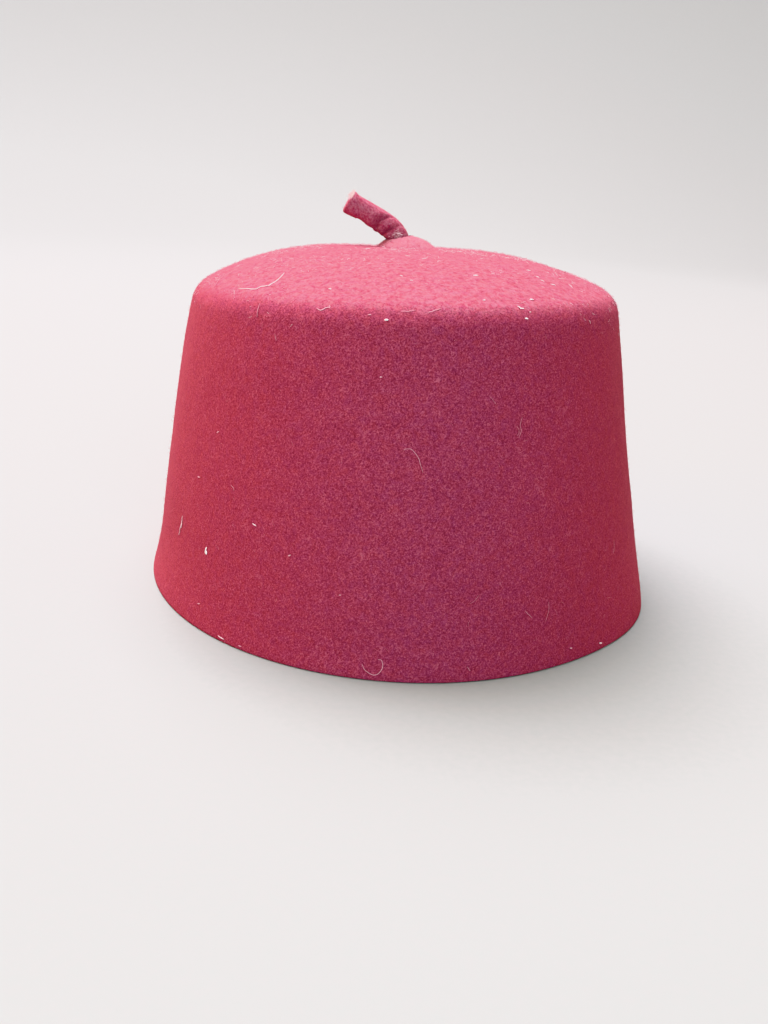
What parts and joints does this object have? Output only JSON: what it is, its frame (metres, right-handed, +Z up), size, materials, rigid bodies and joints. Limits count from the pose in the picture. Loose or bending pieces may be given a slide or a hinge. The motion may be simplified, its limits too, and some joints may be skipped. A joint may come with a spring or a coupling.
{
  "type": "felt fez",
  "caption": "Tapered oval felt fez, open below, with a rounded tip edge, a plain cut rim and a short bent felt stem rising from a low collar.",
  "frame": {"origin": "on the floor under the middle of the rim's bounding box", "axes": "+Z up, -Y towards the front of the hat, along its longer way, and +X to the right as it is seen from the front"},
  "size_m": [0.1766, 0.203, 0.1327],
  "materials": {
    "crown_felt": "maroon wool felt with a short nap",
    "collar_felt": "maroon wool felt with a short nap",
    "stem_felt": "maroon wool felt, rolled and pale at its cut end"
  },
  "bodies": {
    "root": {"crown": "crown_felt", "stem_collar": "collar_felt", "stem": "stem_felt"}
  },
  "joints": []
}
